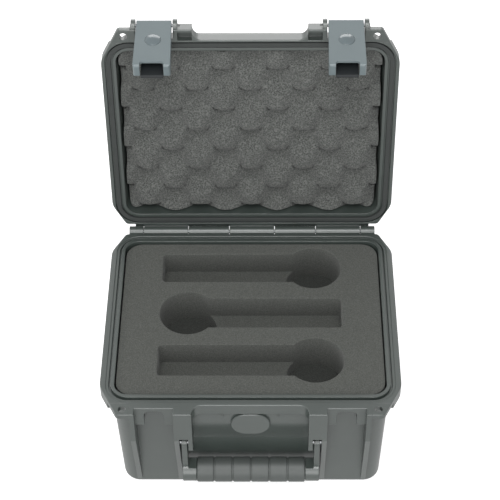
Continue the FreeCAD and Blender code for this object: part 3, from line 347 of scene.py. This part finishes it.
def eggCratePad():
    look = eggCrate
    halfWidth = look["halfWidthMm"]
    halfLength = (look["backMm"] - look["frontMm"]) / 2
    middle = (look["backMm"] + look["frontMm"]) / 2
    lean = tan(radians(look["draftDegrees"]))

    # How far a point lies past the centre of its rounded corner, across and along, and its signs.
    def pastCorner(x, y, depth):
        past = (abs(x) - (halfWidth - depth * lean - look["cornerMm"]),
                abs(y - middle) - (halfLength - depth * lean - look["cornerMm"]))
        return past, (1 if x > 0 else -1, 1 if y > middle else -1)

    # A point of the pad's plan, drawn in by its depth in the lid, with the corners rounded.
    def seat(across, along, depth):
        x = across * (halfWidth - depth * lean)
        y = middle + along * (halfLength - depth * lean)
        (pastX, pastY), (signX, signY) = pastCorner(x, y, depth)
        if pastX > 0 and pastY > 0:
            shrink = 1 - max(pastX, pastY) / (pastX ** 2 + pastY ** 2) ** 0.5
            x -= signX * pastX * shrink
            y -= signY * pastY * shrink
        return x, y

    # Moves a point of the side wall inward and to a new depth.
    def drawIn(co, inward, depth):
        old = co.z - look["rimPlaneMm"]
        (pastX, pastY), (signX, signY) = pastCorner(co.x, co.y, old)
        facing = Vector((max(pastX, 0) * signX, max(pastY, 0) * signY, 0)).normalized()
        moved = co - facing * (inward + (depth - old) * lean)
        return moved.x, moved.y, look["rimPlaneMm"] + depth

    deselect()
    bpy.ops.mesh.primitive_grid_add(
        x_subdivisions=round(2 * halfWidth / look["cellMm"]),
        y_subdivisions=round(2 * halfLength / look["cellMm"]), size=2)
    pad = bpy.context.active_object
    pad.name = "eggCratePad"
    for vertex in pad.data.vertices:
        across, along = vertex.co.x, vertex.co.y
        depth = crateDepth(*seat(across, along, look["shallowMm"] + look["swingMm"]))
        x, y = seat(across, along, depth)
        fade = min(1, (1 - max(abs(across), abs(along))) * halfLength / look["fadeMm"])
        vertex.co = (x, y + crateSag(x, y) * fade, look["rimPlaneMm"] + depth)
        if max(abs(across), abs(along)) > look["borderFrom"]:
            vertex.co = drawIn(vertex.co, look["edgeMm"] / 2, depth)

    edge = look["edgeMm"]
    rear = look["rearMm"]
    workOn(pad)
    editMode(True)
    bpy.ops.mesh.select_all(action="SELECT")
    bpy.ops.mesh.region_to_loop()
    growLoop(pad, lambda co: drawIn(co, -edge / 2, co.z - look["rimPlaneMm"] + edge / 2))
    growLoop(pad, lambda co: drawIn(co, 0, rear - edge * 3))
    growLoop(pad, lambda co: drawIn(co, edge, rear - edge))
    growLoop(pad, lambda co: drawIn(co, edge * 2, rear))
    bpy.ops.mesh.edge_face_add()
    bpy.ops.mesh.select_all(action="SELECT")
    bpy.ops.mesh.normals_make_consistent(inside=False)
    editMode(False)
    pad.data.transform(openLid @ Matrix.Scale(mm, 4))
    bpy.ops.object.shade_smooth_by_angle(angle=radians(look["smoothDegrees"]))
    dressFoam(pad, "lid", "lid_foam", crateFoam)
    print("egg-crate pad", len(pad.data.polygons), "faces")


eggCratePad()

cutEdges = {
    "mergeMm": 0.01, "flatDegrees": 1, "sharpDegrees": 40, "smoothDegrees": 30, "segments": 3,
    "upperMm": 1,
}
foamLayers = {
    "cutFoamTray": {"node": "mic_foam", "edgeMm": 1.3, "foam": cutFoam},
    "wellFoamLayer": {"node": "well_foam", "edgeMm": 0.3, "foam": cutFoam},
    # The two plain sheets take the darker foam, whose colour is painted shade for the well floors.
    "plainFoamUpper": {"node": "middle_foam", "edgeMm": 0.7, "foam": wellShadeFoam},
    "plainFoamLower": {"node": "bottom_foam", "edgeMm": 0.7, "foam": wellShadeFoam},
}


# Each cut layer starts as a copy of its solid. The knife edges of its upper face are broken, as
# cut foam's are, and below they stay sharp, so that stacked layers close up.
def foamLayer(name, look):
    piece = bpy.data.objects.new(name, frame["nodes"][look["node"]].data.copy())
    bpy.context.collection.objects.link(piece)
    workOn(piece)
    editMode(True)
    bpy.ops.mesh.select_all(action="SELECT")
    bpy.ops.mesh.remove_doubles(threshold=cutEdges["mergeMm"] * mm)
    bpy.ops.mesh.dissolve_limited(angle_limit=radians(cutEdges["flatDegrees"]))
    bpy.ops.mesh.normals_make_consistent(inside=False)
    bpy.ops.mesh.select_mode(type="EDGE")
    bpy.ops.mesh.select_all(action="DESELECT")
    bpy.ops.mesh.edges_select_sharp(sharpness=radians(cutEdges["sharpDegrees"]))
    editMode(False)
    points = piece.data.vertices
    upper = max(point.co.z for point in points) - cutEdges["upperMm"] * mm
    weights = piece.data.attributes.new("bevel_weight_edge", "FLOAT", "EDGE")
    for edge in piece.data.edges:
        lowest = min(points[index].co.z for index in edge.vertices)
        weights.data[edge.index].value = 1 if edge.select and lowest > upper else 0
    bpy.ops.object.shade_smooth_by_angle(angle=radians(cutEdges["smoothDegrees"]))
    broken = piece.modifiers.new("brokenEdges", "BEVEL")
    broken.width = look["edgeMm"] * mm
    broken.segments = cutEdges["segments"]
    broken.limit_method = "WEIGHT"
    broken.harden_normals = True
    bpy.ops.object.modifier_apply(modifier=broken.name)
    dressFoam(piece, "base", look["node"], look["foam"])
    print(name, len(piece.data.polygons), "faces")


for name, look in foamLayers.items():
    foamLayer(name, look)

# Thin webs on the lid close the slit that shows between it and the base's hinge knuckles. Their
# section keeps outside the barrel's turning circle, as the shut lid is drawn.
hingeWebs = {
    "sectionMm": [(111.6, 136.3), (117.2, 136.5), (117.2, 138.0), (111.6, 139.5)],
    "spansMm": {"hingeWebMiddle": (21.9, 63.2), "hingeWebEnd": (101.4, 115.4)},
}


def hingeWeb(name, low, high):
    section = hingeWebs["sectionMm"]
    deselect()
    bpy.ops.mesh.primitive_cylinder_add(vertices=len(section), radius=1, depth=2)
    web = bpy.context.active_object
    web.name = name
    for corner, vertex in enumerate(web.data.vertices):
        across = high if corner % 2 else low
        vertex.co = (across, *section[corner // 2])
    workOn(web)
    editMode(True)
    bpy.ops.mesh.select_all(action="SELECT")
    bpy.ops.mesh.normals_make_consistent(inside=False)
    editMode(False)
    web.data.transform(openLid @ Matrix.Scale(mm, 4))
    dress(web, "lid", shellPlastic)


for name, (low, high) in hingeWebs["spansMm"].items():
    hingeWeb(name + "Right", low, high)
    hingeWeb(name + "Left", -high, -low)
print("hinge webs")

studio = {
    "skyStrength": 0.36, "white": (1, 1, 1, 1),
    "floorSize": 8, "floorDropMm": 0.2, "floorColour": "F2F2F2", "floorGlow": 0.74, "floorSheen": 0.9,
    "back": {"watts": 9, "size": 1.1, "place": (0, 1.5, 0.75), "aim": (0, 0, 0.25)},
    "front": {"watts": 15, "size": 1.4, "place": (-0.25, -1.9, 0.8), "aim": (0, 0, 0.1)},
    "top": {"watts": 9, "size": 0.75, "place": (0, -0.65, 1.5), "aim": (0, 0, 0.15)},
    "left": {"watts": 8, "size": 0.9, "place": (-1.5, 0.4, 0.35), "aim": (0, 0, 0.1)},
}


# White where the camera or a reflection sees it, and a plain soft level of light for the rest.
def studioSky():
    world = bpy.data.worlds.new("studioSky")
    bpy.context.scene.world = world
    world.use_nodes = True
    tree = world.node_tree
    for node in list(tree.nodes):
        tree.nodes.remove(node)
    ray = addNode(tree, "ShaderNodeLightPath")
    seen = addNode(tree, "ShaderNodeMath", {"operation": "MAXIMUM"},
                   {0: ray.outputs["Is Camera Ray"], 1: ray.outputs["Is Glossy Ray"]})
    sky = addNode(tree, "ShaderNodeBackground",
                  {"Strength": studio["skyStrength"], "Color": studio["white"]})
    white = addNode(tree, "ShaderNodeBackground", {"Strength": 1.0, "Color": studio["white"]})
    mix = addNode(tree, "ShaderNodeMixShader",
                  links={0: seen.outputs[0], 1: sky.outputs[0], 2: white.outputs[0]})
    addNode(tree, "ShaderNodeOutputWorld", links={"Surface": mix.outputs[0]})


# A pale floor that burns out to white for the camera but keeps a trace of the shadow. Reflections
# see it just under white.
def studioFloor():
    deselect()
    bpy.ops.mesh.primitive_plane_add(
        size=studio["floorSize"], location=(0, 0, -studio["floorDropMm"] * mm))
    floorPlane = bpy.context.active_object
    floorPlane.name = "studioFloor"
    material, tree = freshMaterial("paperSweep")
    ray = addNode(tree, "ShaderNodeLightPath")
    matte = addNode(tree, "ShaderNodeBsdfDiffuse", {"Color": srgbHex(studio["floorColour"])})
    glow = addNode(tree, "ShaderNodeEmission",
                   {"Color": studio["white"], "Strength": studio["floorGlow"]})
    lit = addNode(tree, "ShaderNodeAddShader", links={0: matte.outputs[0], 1: glow.outputs[0]})
    sheen = addNode(tree, "ShaderNodeEmission",
                    {"Color": studio["white"], "Strength": studio["floorSheen"]})
    seen = addNode(tree, "ShaderNodeMixShader",
                   links={0: ray.outputs["Is Camera Ray"], 1: matte.outputs[0], 2: lit.outputs[0]})
    mix = addNode(tree, "ShaderNodeMixShader",
                  links={0: ray.outputs["Is Glossy Ray"], 1: seen.outputs[0], 2: sheen.outputs[0]})
    addNode(tree, "ShaderNodeOutputMaterial", links={"Surface": mix.outputs[0]})
    floorPlane.data.materials.append(material)


def softbox(name, look):
    light = bpy.data.lights.new(name, "AREA")
    light.energy = look["watts"]
    light.size = look["size"]
    item = bpy.data.objects.new(name, light)
    item.location = look["place"]
    beam = Vector(look["aim"]) - item.location
    item.rotation_euler = beam.to_track_quat("-Z", "Y").to_euler()
    bpy.context.collection.objects.link(item)


viewpoint = {
    "place": (0.0180, -0.99416, 1.26021), "down": 46.063, "turn": 1.039, "roll": -0.804,
    "focalPixels": 1601.72, "framePixels": 500, "sensorMm": 36,
}


def photoCamera():
    lens = bpy.data.cameras.new("photoCamera")
    lens.sensor_fit = "HORIZONTAL"
    lens.sensor_width = viewpoint["sensorMm"]
    lens.lens = viewpoint["focalPixels"] * viewpoint["sensorMm"] / viewpoint["framePixels"]
    camera = bpy.data.objects.new("photoCamera", lens)
    look = Euler((radians(90 - viewpoint["down"]), 0, radians(viewpoint["turn"]))).to_matrix()
    look = look @ Matrix.Rotation(radians(viewpoint["roll"]), 3, "Z")
    camera.matrix_world = Matrix.Translation(viewpoint["place"]) @ look.to_4x4()
    bpy.context.collection.objects.link(camera)
    bpy.context.scene.camera = camera


studioSky()
studioFloor()
for side in ("back", "front", "top", "left"):
    softbox(side + "Softbox", studio[side])
photoCamera()
bpy.context.scene.view_settings.view_transform = "Standard"
print("studio ready")
